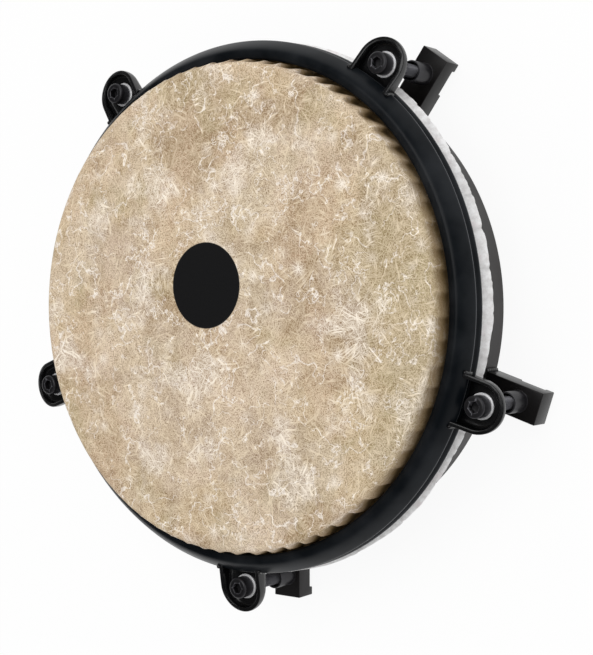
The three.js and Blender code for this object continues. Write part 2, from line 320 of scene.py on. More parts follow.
head = {
    "flatRadius": 144.2,
    "flatRings": (0, 25, 50, 75, 100, 120, 134, 139, 142),
    "top": 84.0,
    "shoulder": 5.8,
    "radius": 150.0,
    "wallRings": 13,  # 1 mm apart
    "hem": [(150.0, 63.4), (150.9, 62.0), (152.2, 61.2), (153.6, 61.0), (155.9, 61.0)],
    "thickness": 0.5,
    "pleats": 72,
    "pleatTurn": -1.45,  # degrees from the X axis to a crest
    "stepsPerPleat": 14,
    "steepShare": 0.16,  # of the pitch, on the clockwise side of a crest
    "crestBend": 0.15,  # the more, the sharper a crest is
    "crestWander": 0.09,  # of the pitch
    "foldDepths": (0.75, 1),  # shares of the sink, from the shallowest fold to the deepest
    "rise": 1.0,
    "sink": 2.6,
    # how far below the playing surface each of these starts and is full
    "riseStart": (2.5, 8),
    "sinkStart": (1.5, 5.5),
    "pleatEnd": (17.0, 20.5),
    # the painted shade, down the wall and in the folds
    "wallShadeDepths": (5, 15),
    "foldShadeDepths": (1, 7),
    "crestShade": 0.5,  # share of the wall's painted shade on a crest
    # painted shade: its share deep in a fold, and how much less of it the calm side gets
    "foldShade": 0.4,
    "calmFade": 0.4,
    # the side where the film lies smoother: its middle and half its width, in degrees
    "calmMiddle": -6,
    "calmReach": 60,
    "calmCore": 0.45,  # share of the reach that is calm all over
    "calmPleats": 0.25,  # share of the pleats that is left there
}


# How deep in its fold a point is, from 0 on a crest to 1; crests holds their shifts and depths
def foldAt(angle, crests):
    turn = (angle - math.radians(head["pleatTurn"])) / fullTurn * head["pleats"]
    before = math.floor(turn)
    places = [before + k + crests[(before + k) % head["pleats"]][0] for k in (-1, 0, 1, 2)]
    k = sum(place <= turn for place in places) - 1
    t = (turn - places[k]) / (places[k + 1] - places[k])
    steep = head["steepShare"]
    deepest = crests[(before - 1 + k) % head["pleats"]][1]
    slope = smoothStep(-head["crestBend"], 1.0, t / (1 - steep))
    return deepest * min(slope, smoothStep(0, 1, (1 - t) / steep))


def makeHead():
    h = head
    bend = (h["flatRadius"], h["top"] - h["shoulder"])
    section = [(r, h["top"]) for r in h["flatRings"]]
    section += arc(bend, (h["shoulder"], h["shoulder"]), 90, 0, 9)
    section += [(h["radius"], bend[1] - i) for i in range(1, h["wallRings"] + 1)]
    section += h["hem"]
    piece = turned("head_film", section, h["pleats"] * h["stepsPerPleat"], closed=False)
    pick = random.Random(5)
    wander = h["crestWander"]
    crests = [
        (pick.uniform(-wander, wander), pick.uniform(*h["foldDepths"])) for _ in range(h["pleats"])
    ]
    paintedFoldShade = piece.data.attributes.new("paintedFoldShade", "FLOAT", "POINT")
    for i, v in enumerate(piece.data.vertices):
        radius = v.co.xy.length / mm
        depth = h["top"] - v.co.z / mm
        if depth > 1:
            angle = math.atan2(v.co.y, v.co.x)
            inFold = foldAt(angle, crests)
            away = abs(math.degrees(angle) - h["calmMiddle"]) / h["calmReach"]
            calm = 1 - smoothStep(h["calmCore"], 1, away)
            fade = (1 - smoothStep(*h["pleatEnd"], depth)) * (1 - calm * (1 - h["calmPleats"]))
            rise = h["rise"] * (1 - inFold) * smoothStep(*h["riseStart"], depth)
            push = (rise - h["sink"] * inFold * smoothStep(*h["sinkStart"], depth)) * fade
            v.co.xy *= 1 + push / radius
            # painted shade for the film's material: darker down the wall towards the hoop, where
            # shade falls, and darker again deep in the folds; less of it on the calm side
            shade = h["crestShade"] + (1 - h["crestShade"]) * inFold
            tone = smoothStep(*h["wallShadeDepths"], depth) * shade * (1 - h["calmFade"] * calm)
            inside = h["foldShade"] * inFold * fade * smoothStep(*h["foldShadeDepths"], depth)
            paintedFoldShade.data[i].value = tone + (1 - tone) * inside
    thicken(piece, h["thickness"])
    return smooth(piece, 60)


# Polyester film filled with fibres, calendered: it is tan and cloudy like a hide, dull on top,
# and the fibres show as thin cream hairs that cross, curl and gather in whitish knots
film = {
    "tan": "#c4ab87",
    "brown": "#937450",
    "olive": "#9b8d60",
    "pink": "#d0b097",
    "haze": "#efe0d6",
    "fibre": "#fdebcd",
    "knot": "#fff6ea",
    "shade": "#8c7252",
    # painted shade and shadow in the folds: brown, and near black in their deep gaps
    "paintedFoldShade": "#6b5530",
    "foldGapShadowTone": "#1a1207",
    "ink": "#0d0d0f",
    "inkCentre": (-10.4, 13.8, 0),
    "inkRadius": 26.4,
    "inkEdge": 0.25,
    # patches on the tan: size, noise where one starts and is full, seed, share there and colour
    "patches": (
        (62, 0.46, 0.55, 1, 1, "brown"),
        (48, 0.48, 0.6, 2, 0.55, "olive"),
        (55, 0.47, 0.63, 3, 0.5, "pink"),
        (90, 0.47, 0.57, 8, 0.3, "haze"),
        (20, 0.46, 0.66, 4, 0.4, "brown"),
        (4, 0.5, 0.7, 5, 0.35, "shade"),
    ),
    # ramps: a pattern's value where each starts and ends, and the share of colour at both
    "oliveSide": (80, 150, 0, 0.75),
    "darkGrain": (0.54, 0.32, 0, 0.85),
    "lightGrain": (0.5, 0.68, 0, 0.45),
    # the next three lay painted shade down the wall and in the folds
    "wallShade": (0.5, 8, 0, 0.6),
    "foldShadeBrown": (0, 0.7, 0, 0.9),
    "foldGapShadow": (0.55, 1, 0, 0.85),
    "hazeShare": 0.36,
    "grain": 0.8,  # the real felt is finer; this is as coarse as it needs to show
    "grainDepth": 0.05,
    "roughness": (0.5, 0.64),
    "shine": 0.25,
    "sway": 3.6,  # how far a hair strays, over the next length
    "swayLength": 16,
    # where fibres crowd: size, noise where a cloud starts and is full, seed, detail and share
    "crowd": (38, 0.5, 0.68, 6, 4, 0.62),
    "crumples": ((75, 0.02, 7), (46, 0.022, 31), (30, 0.024, 47)),  # size, width and seed
    "crumpleGaps": (18, 0.44, 0.58),
    "veinWidth": 0.3,  # share of the crumple
    "veinShare": 0.62,
    "knotSpacing": 30,
    "knotShare": (0.35, 0.95, 0, 1.1),  # a ramp, as is the next
    "knotHeart": (7, 0, 0, 0.7),
    "rays": 8,
    "rayAim": (0.2, 0.8),  # shares of the sector in which each lies
    "rayWidth": 0.45,
    "rayLength": (5, 32),
    "rayFade": (1, 0.2),  # shares of the length, where a ray ends and is full
    # hairs: layers, length, gap and width, their patches' size, start and fullness, and share
    "hairs": (
        (7, 13, 2.0, 0.034, 6, 0.44, 0.56, 0.7),
        (6, 42, 3.4, 0.03, 13, 0.5, 0.56, 1.0),
    ),
    "strokeCells": (5, 5.5, 6, 7, 8, 9, 10, 12, 15, 19, 24, 30),
    "strokeWidth": (0.31, 0.42),
    "wideFrom": 15,  # strokes are wide in cells of this size or more
    "brightFrom": 19,  # and in these, more of them are bright
    "strokeCurl": 0.45,
    "strokeEnds": (0.6, 0.3),  # shares of the cell, where a stroke ends and starts to fade
    "lieSize": 38,
    "lieSpread": 0.36,  # share of a turn
    "hairTurn": 0.3,  # of the angle between two layers
    "hairShown": (0.7, 0.62),  # in the crowds, and everywhere
}


def makeFilmMaterial():
    f = film
    material, add, shader = newMaterial("fibreFilledPolyesterFilm")
    place = inMillimetres(add)
    height = add("SeparateXYZ", (place,), out="Z")
    level = add("VectorMath MULTIPLY", (place, (1, 1, 0)))

    # the head's wall is laid out flat round its top, so that nothing stretches down it
    reach = add("VectorMath LENGTH", (level,), out="Value")
    reach = add("Math MAXIMUM", (reach, 1))
    below = add("Math SUBTRACT", (head["top"], height))
    grow = add("Math DIVIDE", (below, reach))
    grow = add("Math ADD", (grow, 1))
    flat = add("VectorMath SCALE", {0: level, "Scale": grow})

    # soft-edged patches of one size, placed apart by the seed
    def patches(size, low, high, seed, detail=3, most=1):
        moved = add("VectorMath ADD", (flat, (seed * 171, seed * 93, 0)))
        cloud = {"Vector": moved, "Scale": 1 / size, "Detail": detail, "Roughness": 0.6}
        cloud = add("TexNoise", cloud, noise_dimensions="2D")
        return add("MapRange", (cloud, low, high, 0, most), **softly)

    # colours, from the widest patches to the smallest
    tones = [
        (patches(*cloud, most=most), colour(f[name])) for *cloud, most, name in f["patches"]
    ]

    # the sheet is darker and greener towards one side
    across = add("SeparateXYZ", (flat,), out="X")
    oliveSide = add("MapRange", (across, *f["oliveSide"]), **softly)

    # a little warp, so that the hairs bend
    sway = {"Vector": flat, "Scale": 1 / f["swayLength"], "Detail": 2}
    sway = add("TexNoise", sway, out="Color", noise_dimensions="2D")
    sway = add("VectorMath ADD", (sway, (-0.5, -0.5, -0.5)))
    bowed = add("VectorMath MULTIPLY_ADD", (sway, (f["sway"], f["sway"], 0), flat))

    # where the fibres crowd together: in clouds and along wandering, ragged lines
    crowd = patches(*f["crowd"])
    veins = 0
    for size, width, seed in f["crumples"]:
        away = add("Math ADD", (patches(size, 0, 1, seed, 4), -0.5))
        away = add("Math ABSOLUTE", (away,))
        cover = patches(*f["crumpleGaps"], seed + 1)
        line = add("MapRange", (away, width, 0, 0, cover), **softly)
        crowd = add("Math MAXIMUM", (crowd, line))
        line = add("MapRange", (away, f["veinWidth"] * width, 0, 0, cover), **softly)
        veins = add("Math MAXIMUM", (veins, line))

    # knots: thin rays of fibre that run out from the centres of scattered cells
    cells = {"Vector": bowed, "Scale": 1 / f["knotSpacing"]}
    cells = add("TexVoronoi", cells, voronoi_dimensions="2D").node
    pick = add("SeparateColor", (cells.outputs["Color"],)).node
    outward = add("VectorMath SUBTRACT", (bowed, cells.outputs["Position"]))
    spread = add("VectorMath LENGTH", (outward,), out="Value")
    outward = add("SeparateXYZ", (outward,)).node
    bearing = add("Math ARCTAN2", (outward.outputs[1], outward.outputs[0]))
    bearing = add("Math MULTIPLY_ADD", (bearing, f["rays"] / fullTurn, f["rays"]))
    sector = add("Math FLOOR", (bearing,))
    dice = add("VectorMath ADD", (cells.outputs["Color"], sector))
    dice = add("TexWhiteNoise", (dice,), out="Color")
    dice = add("SeparateColor", (dice,)).node
    aim = add("MapRange", (dice.outputs[0], 0, 1, *f["rayAim"]))
    aside = add("Math SUBTRACT", (bearing, sector))
    aside = add("Math SUBTRACT", (aside, aim))
    aside = add("Math ABSOLUTE", (aside,))
    aside = add("Math MULTIPLY", (aside, spread))
    ray = add("MapRange", (aside, f["rayWidth"] * f["rays"] / fullTurn, 0), **softly)
    length = add("MapRange", (dice.outputs[1], 0, 1, *f["rayLength"]))
    rayEnd = add("Math DIVIDE", (spread, length))
    rayEnd = add("MapRange", (rayEnd, *f["rayFade"]))
    strength = add("MapRange", (pick.outputs[0], *f["knotShare"]))
    knot = add("Math MULTIPLY", (ray, rayEnd))
    knot = add("Math MULTIPLY", (knot, strength))
    near = add("MapRange", (spread, *f["knotHeart"]), **softly)
    near = add("Math MULTIPLY", (near, strength))
    crowd = add("Math MAXIMUM", (crowd, near))

    # hairs: thin contour lines of noises that are stretched one way each
    hair = knot
    for layers, length, gap, width, size, low, high, most in f["hairs"]:
        for i in range(layers):
            laid = {
                "Vector": bowed,
                "Location": (i * 37, length * i, 0),
                "Rotation": (0, 0, (i + f["hairTurn"]) * math.pi / layers),
                "Scale": (length, gap, 1),
            }
            laid = add("Mapping", laid, vector_type="TEXTURE")
            wave = add("TexNoise", {"Vector": laid, "Scale": 1, "Detail": 1}, noise_dimensions="2D")
            off = add("Math ADD", (wave, -0.5))
            off = add("Math ABSOLUTE", (off,))
            line = add("MapRange", (off, width, 0, 0, most), **softly)
            cover = patches(size, low, high, 10 + i + length, 2)
            line = add("Math MULTIPLY", (line, cover))
            hair = add("Math MAXIMUM", (hair, line))

    # single fibres: one curved stroke in each cell of several layers, lying as those near it do
    for i, cell in enumerate(f["strokeCells"]):
        shift = (i * 71, i * 37, 0)
        moved = add("VectorMath ADD", (bowed, shift))
        spots = {"Vector": moved, "Scale": 1 / cell}
        spots = add("TexVoronoi", spots, voronoi_dimensions="2D").node
        middle = spots.outputs["Position"]
        local = add("VectorMath SUBTRACT", (moved, middle))
        centre = add("VectorMath SUBTRACT", (middle, shift))
        lie = {"Vector": centre, "Scale": 1 / f["lieSize"], "Detail": 1}
        lie = add("TexNoise", lie, noise_dimensions="2D")
        pick = add("SeparateColor", (spots.outputs["Color"],)).node
        turn = add("Math MULTIPLY_ADD", (pick.outputs[0], f["lieSpread"], lie))
        turn = add("Math MULTIPLY", (turn, fullTurn))
        spun = add("VectorRotate", {"Vector": local, "Angle": turn}, rotation_type="Z_AXIS")
        x = add("SeparateXYZ", (spun,))
        curl = f["strokeCurl"] / cell
        curl = add("MapRange", (pick.outputs[1], 0, 1, -curl, curl))
        bow = add("Math MULTIPLY", (x, x))
        bow = add("Math MULTIPLY", (bow, curl))
        off = add("Math SUBTRACT", (x.node.outputs["Y"], bow))
        off = add("Math ABSOLUTE", (off,))
        power = 1 if cell >= f["brightFrom"] else 2
        most = add("Math POWER", (pick.outputs[2], power))
        width = f["strokeWidth"][cell >= f["wideFrom"]]
        line = add("MapRange", (off, width, 0, 0, most), **softly)
        ends = add("Math ABSOLUTE", (x,))
        ends = add("MapRange", (ends, *(share * cell for share in f["strokeEnds"])))
        line = add("Math MULTIPLY", (line, ends))
        hair = add("Math MAXIMUM", (hair, line))
    shown = add("Math MULTIPLY_ADD", (crowd, *f["hairShown"]))
    hair = add("Math MULTIPLY", (hair, shown))
    veins = add("Math MULTIPLY", (veins, f["veinShare"]))
    hair = add("Math MAXIMUM", (hair, veins))

    # the felt's grain, with its lightest points as bright as a fibre
    grain = {"Vector": flat, "Scale": 1 / f["grain"], "Detail": 1}
    grain = add("TexNoise", grain, noise_dimensions="2D")
    dark = add("MapRange", (grain, *f["darkGrain"]))
    light = add("MapRange", (grain, *f["lightGrain"]))
    hair = add("Math MAXIMUM", (hair, light))
    haze = add("Math MULTIPLY", (crowd, f["hazeShare"]))
    fibre = add("Mix", {0: crowd, 6: colour(f["fibre"]), 7: colour(f["knot"])}, 2, data_type="RGBA")

    # painted shade: the wall is painted browner than the top, and between the pleats brown painted
    # shade and a near-black painted shadow fill the folds
    wall = add("MapRange", (below, *f["wallShade"]))
    paintedFoldShade = add("Attribute", out="Fac", attribute_name="paintedFoldShade")
    foldShadeBrown = add("MapRange", (paintedFoldShade, *f["foldShadeBrown"]))
    foldGapShadow = add("MapRange", (paintedFoldShade, *f["foldGapShadow"]))

    # a plain printed dot, on the outside only
    away = add("VectorMath DISTANCE", (level, f["inkCentre"]), out="Value")
    ink = add("MapRange", (away, f["inkRadius"] + f["inkEdge"], f["inkRadius"] - f["inkEdge"]))
    outside = add("Math GREATER_THAN", (height, head["top"] - 0.2))
    ink = add("Math MULTIPLY", (ink, outside))

    # each colour over those before it
    tones += [
        (oliveSide, colour(f["olive"])), (haze, colour(f["haze"])), (dark, colour(f["shade"])),
        (hair, fibre), (wall, colour(f["shade"])), (foldShadeBrown, colour(f["paintedFoldShade"])),
        (foldGapShadow, colour(f["foldGapShadowTone"])), (ink, colour(f["ink"])),
    ]
    tone = colour(f["tan"])
    for cover, over in tones:
        tone = add("Mix", {0: cover, 6: tone, 7: over}, 2, data_type="RGBA")
    shader.inputs["Specular IOR Level"].default_value = f["shine"]
    rough = (grain, *noiseSpan, *f["roughness"])
    finishShader(add, shader, tone, rough, (grain, f["grainDepth"]))
    return material


headPiece = makeHead()
dress(headPiece, makeFilmMaterial(), None, ("playing_skin", "head_collar"), "head_film")
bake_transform(headPiece)
print("head made")


# Paint on steel: a thin even coat with a slight orange peel, paler on sharp edges, partly where it
# is rubbed and partly as a painted highlight

paint = {
    "peelSize": 0.9,
    "peelDepth": 0.03,
    "cloudSize": 28,
    "sharpEdge": (0.515, 0.6),  # pointiness where the pale edge, partly wear and partly painted highlight, starts and is full
    "dust": (0.4, 0.7, 0, 0.12),
    "roughSpread": (-0.05, 0.06),
    # each paint's coat, its paler colour for dust, wear and painted highlights, its roughness, that
    # colour's share on edges, as wear and painted highlight, and shine
    "powderCoatBlueBlack": ("#0c1014", "#585b60", 0.34, 0.1, 0.14),
    "sprayedPaintWarmGrey": ("#1e1a19", "#3e3634", 0.42, 0.3, 0.32),
    "powderCoatBlack": ("#070708", "#303033", 0.24, 0.5, 0.55),
    "sprayedPaintBlack": ("#0a0808", "#353334", 0.3, 0.4, 0.26),
}


def makePaint(name, highlightRims=()):
    coat, wearAndHighlightTone, roughness, edgeWearAndHighlightShare, shine = paint[name]
    material, add, shader = newMaterial(name)
    place = inMillimetres(add)
    peel = add("TexNoise", {"Vector": place, "Scale": 1 / paint["peelSize"], "Detail": 2})
    broad = add("TexNoise", {"Vector": place, "Scale": 1 / paint["cloudSize"], "Detail": 4})
    # sharp edges are paler: partly wear, partly a painted highlight
    edge = add("NewGeometry", out="Pointiness")
    edgeWearAndHighlight = add("MapRange", (edge, *paint["sharpEdge"], 0, edgeWearAndHighlightShare), **softly)
    dust = add("MapRange", (broad, *paint["dust"]))
    cover = add("Math MAXIMUM", (edgeWearAndHighlight, dust))
    # painted highlight lines along the given rims
    for radius, height, width, most in highlightRims:
        level = add("VectorMath MULTIPLY", (place, (1, 1, 0)))
        reach = add("VectorMath LENGTH", (level,), out="Value")
        across = add("Math SUBTRACT", (reach, radius))
        along = add("SeparateXYZ", (place,), out="Z")
        along = add("Math SUBTRACT", (along, height))
        spot = add("CombineXYZ", (across, along))
        away = add("VectorMath LENGTH", (spot,), out="Value")
        line = add("MapRange", (away, width, width / 3, 0, most), **softly)
        cover = add("Math MAXIMUM", (cover, line))
    tone = add("Mix", {0: cover, 6: colour(coat), 7: colour(wearAndHighlightTone)}, 2, data_type="RGBA")
    shader.inputs["Specular IOR Level"].default_value = shine
    rough = (broad, *noiseSpan, *(roughness + change for change in paint["roughSpread"]))
    finishShader(add, shader, tone, rough, (peel, paint["peelDepth"]))
    return material


# Counter hoop: a steel strip rolled to a rounded roof, drawn in below it, with a skirt at its foot

hoop = {
    "innerEdge": (151.7, 69.4),
    "crown": (156.0, 71.0),
    "shoulder": (159.0, 71.0),
    "bulge": (163.9, 62.8),
    "crease": (162.3, 59.2),
    "creasePull": (164.9, 60.8),
    "skirt": [
        (162.6, 58.2), (163.5, 57.2), (164.1, 56.3), (164.5, 55.3), (164.3, 54.6), (163.6, 54.4),
    ],
    "underside": [
        (161.4, 55.0), (160.4, 56.4), (160.1, 57.4), (160.6, 58.8), (161.6, 60.0), (162.2, 61.2),
    ],
    "insideStart": (162.2, 62.2),
    "insidePull": (158.1, 68.8),
    "underCrown": (156.0, 68.8),
    "lip": (153.9, 69.2),
    "edgeEase": 0.35,
    "steps": 360,
    # rims with a painted highlight line: distance from the axis, height, width and share
    "highlightRims": ((163.9, 61.4, 0.8, 0.8), (164.4, 55.0, 0.9, 0.6)),
}


def makeHoop():
    h = hoop
    inner, crown, bulge, crease = (h[key] for key in ("innerEdge", "crown", "bulge", "crease"))
    under = h["underCrown"]
    # up over the crown, down the roof, in to the crease, round the skirt and back up inside
    section = bent(inner, (inner[0], crown[1]), crown, 8)
    section += bent(crown, h["shoulder"], bulge, 16)[1:]
    section += bent(bulge, h["creasePull"], crease, 7)[1:]
    section += h["skirt"] + h["underside"]
    section += bent(h["insideStart"], h["insidePull"], under, 9)
    section += bent(under, (h["lip"][0], under[1]), h["lip"], 3)[1:]
    piece = turned("counter_hoop_dressed", section, h["steps"])
    easeEdges(piece, h["edgeEase"], 50)
    return smooth(piece, 40)


# satin powder coat, blue-black: smooth and dark, with soft broad reflections
dress(
    makeHoop(), makePaint("powderCoatBlueBlack", hoop["highlightRims"]),
    "hoop", ("counter_hoop",), "hoop_paint",
)
print("hoop made")


# Tail: the film's rest, trimmed by hand below the hoop, so that its edge waves and is nicked

tail = {
    "upper": [(159.5, 64.0), (159.4, 60.0), (159.3, 56.0)],
    "neck": (159.2, 52.5),
    "pull": (162.3, 46.83),
    "edge": (165.4, 44.0),
    "thickness": 0.5,
    # how many round the drum, their share of the height, and where one is highest
    "waves": ((1, 0.8, -60), (7, 0.45, 30), (16, 0.33, 10), (29, 0.22, 5)),
    "waveHeight": 1.8,
    "shortSide": (-55, 3.4),  # degrees, and how much shorter the film is there
    "fray": (0.6, 45),  # height, and how fine
    "nicks": 44,
    "nickDepth": 1.9,
    "nickWidth": 5.0,
    "creases": 64,
    "creaseWidth": 2.2,
    "creaseDepth": 0.6,
    "ripple": (0.5, 16),  # height, and how fine
    "steps": 900,
    "milk": "#e6e4e3",
    "white": "#ffffff",
    "blush": "#efe3e4",
    # grey painted shade in the creases, and its share
    "creaseShadeTone": "#94908f",
    "creaseShadeShare": 0.35,
    "cloudSize": 4,
    "cloudWhite": (0.38, 0.62),  # noise where white starts and is full
    "blushSize": 13,
    "blushShare": (0.55, 0.7, 0, 0.5),
    "roughness": (0.35, 0.5),
    "relief": 0.5,
}


def makeTail():
    t = tail
    section = t["upper"] + bent(t["neck"], t["pull"], t["edge"], 12)
    piece = turned("film_tail_dressed", section, t["steps"], closed=False)
    pick = random.Random(11)
    nicks = [
        (pick.uniform(0, fullTurn), pick.uniform(0.3, 1), pick.choice((-1, 1)))
        for _ in range(t["nicks"])
    ]
    creases = [(pick.uniform(0, fullTurn), pick.uniform(0.3, 1)) for _ in range(t["creases"])]
    columns = {}
    creaseShadeMark = piece.data.attributes.new("crease", "FLOAT", "POINT")
    for i, v in enumerate(piece.data.vertices):
        angle = math.atan2(v.co.y, v.co.x)
        key = round(angle * 1e5)
        if key not in columns:
            lift = 0
            for count, share, highest in t["waves"]:
                lift += t["waveHeight"] * share * math.cos(count * (angle - math.radians(highest)))
            shortest, cut = t["shortSide"]
            lift += cut * max(0, math.cos(angle - math.radians(shortest))) ** 4
            around = Vector((math.cos(angle), math.sin(angle), 0))
            lift += t["fray"][0] * noise.noise(around * t["fray"][1])
            crease = 0
            for spot, deep, side in nicks:
                away = ((angle - spot + math.pi) % fullTurn - math.pi) * side * t["edge"][0]
                if 0 <= away < t["nickWidth"]:
                    lift += t["nickDepth"] * deep * (1 - away / t["nickWidth"])
            for spot, deep in creases:
                away = abs((angle - spot + math.pi) % fullTurn - math.pi) * t["edge"][0]
                crease = max(crease, deep * (1 - smoothStep(0, t["creaseWidth"], away)))
            swell, fineness = t["ripple"]
            ripple = swell * noise.noise(around * fineness + Vector((0, 0, 0.3)))
            columns[key] = (lift, crease, ripple)
        lift, crease, ripple = columns[key]
        share = min(max((t["neck"][1] - v.co.z / mm) / (t["neck"][1] - t["edge"][1]), 0), 1)
        push = (ripple - t["creaseDepth"] * crease) * share
        v.co.xy *= 1 + push * mm / v.co.xy.length
        v.co.z += lift * share * mm
        # the creases' painted shade for the material, stronger towards the edge
        creaseShadeMark.data[i].value = crease * (0.3 + 0.7 * share)
    thicken(piece, t["thickness"])
    return smooth(piece, 50)


# Bare polyester film without its print: milky white, with grey painted shade in its creases and a
# slight sheen
def makeTailMaterial():
    t = tail
    material, add, shader = newMaterial("barePolyesterFilm")
    place = inMillimetres(add)
    soft = {"Vector": place, "Scale": 1 / t["cloudSize"], "Detail": 6, "Roughness": 0.7}
    soft = add("TexNoise", soft)
    cloudy = add("MapRange", (soft, *t["cloudWhite"]))
    tint = add("TexNoise", {"Vector": place, "Scale": 1 / t["blushSize"], "Detail": 2})
    tint = add("MapRange", (tint, *t["blushShare"]))
    # grey painted shade in the creases
    crease = add("Attribute", out="Fac", attribute_name="crease")
    crease = add("Math MULTIPLY", (crease, t["creaseShadeShare"]))
    tone = colour(t["milk"])
    for cover, name in ((cloudy, "white"), (tint, "blush"), (crease, "creaseShadeTone")):
        tone = add("Mix", {0: cover, 6: tone, 7: colour(t[name])}, 2, data_type="RGBA")
    finishShader(add, shader, tone, (soft, *noiseSpan, *t["roughness"]), (soft, t["relief"]))
    return material


dress(makeTail(), makeTailMaterial(), "hoop", ("film_tail",), "tail_film")
print("tail made")


# Flesh ring: a square aluminium bar with eased corners, inside the hoop

fleshRing = {
    "inner": 153.2,
    "outer": 158.6,
    "bottom": 61.3,
    "top": 67.2,
    "corner": 1.2,
    "steps": 288,
    "lines": (0.02, 0.02, 1.4),  # how often they change along the three axes
    "roughness": (0.3, 0.5),
    "dark": "#b4b5b8",
    "pale": "#cfd0d2",
}


def makeFleshRing():
    f = fleshRing
    c = f["corner"]
    section = []
    for i, (x, z) in enumerate((
        (f["outer"] - c, f["bottom"] + c), (f["outer"] - c, f["top"] - c),
        (f["inner"] + c, f["top"] - c), (f["inner"] + c, f["bottom"] + c),
    )):
        section += arc((x, z), (c, c), 90 * i - 90, 90 * i, 4)
    return smooth(turned("flesh_ring_dressed", section, f["steps"]), 40)


# Drawn aluminium: pale grey, with faint lines along the bar
def makeRingMaterial():
    f = fleshRing
    material, add, shader = newMaterial("drawnAluminium")
    stretched = add("VectorMath MULTIPLY", (inMillimetres(add), f["lines"]))
    lines = add("TexNoise", {"Vector": stretched, "Scale": 1, "Detail": 3})
    tone = add("Mix", {0: lines, 6: colour(f["dark"]), 7: colour(f["pale"])}, 2, data_type="RGBA")
    shader.inputs["Metallic"].default_value = 1
    finishShader(add, shader, tone, (lines, 0, 1, *f["roughness"]))
    return material


dress(makeFleshRing(), makeRingMaterial(), "hoop", ("flesh_ring",), "ring_metal")


# Shell: a rolled steel band whose front edge is turned in under the head

shell = {
    "radius": 149.2,
    "wall": 2.0,
    "neck": 146.6,  # the front of the band is drawn in under the pleats
    "edgeRadius": 5.0,
    "ease": 0.35,
    "edgeTurn": 120,  # degrees
    "midRing": 30,  # height of a ring of points on the plain band
    "drawIn": (57, 60, 61.5, 63, 66),  # heights: start, pull, half way, pull and end
    "halfIn": 1.3,
    "innerDrop": 0.6,  # how much lower the same curve lies inside the band
    "steps": 360,
}


def makeShell():
    s = shell
    inner = s["radius"] - s["wall"]
    bend = (s["neck"] - s["edgeRadius"], head["top"] - head["shoulder"])
    thin = s["edgeRadius"] - s["wall"]
    start, leave, middle, near, end = s["drawIn"]
    halfIn = (s["radius"] - s["halfIn"], middle)
    drawIn = bent((s["radius"], start), (s["radius"], leave), halfIn, 4)
    drawIn += bent(halfIn, (s["neck"], near), (s["neck"], end), 4)[1:]
    section = [(s["radius"], s["ease"]), (s["radius"], s["midRing"])] + drawIn
    section += arc(bend, (s["edgeRadius"],) * 2, 0, s["edgeTurn"], 12)
    section += arc(bend, (thin, thin), s["edgeTurn"], 0, 10)
    section += [(x - s["wall"], z - s["innerDrop"]) for x, z in drawIn[::-1]]
    section += [(inner, s["midRing"]), (inner, s["ease"])]
    section += [(inner + s["ease"], 0), (s["radius"] - s["ease"], 0)]
    return smooth(turned("shell_ring_dressed", section, s["steps"]), 35)


# sprayed paint on rolled sheet: a warm dark grey, satin
dress(makeShell(), makePaint("sprayedPaintWarmGrey"), "shell", ("shell_ring",), "shell_paint")
print("shell made")


# Ears: pressed cups welded to the hoop, each with a hole for its bolt

ear = {
    "start": 161.4,
    "boltCircle": 174.0,
    "halfWidth": 15.5,
    "wall": 2.6,
    "corner": 5.2,
    "bottom": 54.5,
    "blankTop": 70.0,
    "rimAtHoop": (161.6, 66.0),
    "rimAtTip": (189.5, 61.3),
    "hole": 4.5,
    "holeDepth": 10,
    "rimEase": 0.55,
    "bead": 1.35,
    "beadGap": 0.35,  # from the ear's side to the middle of its weld
    # the weld's way up the hoop: distance from its widest line, and height
    "beadPath": (
        (-3.6, 55.6), (-2.6, 57.0), (-1.0, 58.6), (-0.2, 60.0),
        (-0.2, 61.3), (-0.2, 62.6), (-0.3, 63.9), (-0.8, 65.2),
    ),
}


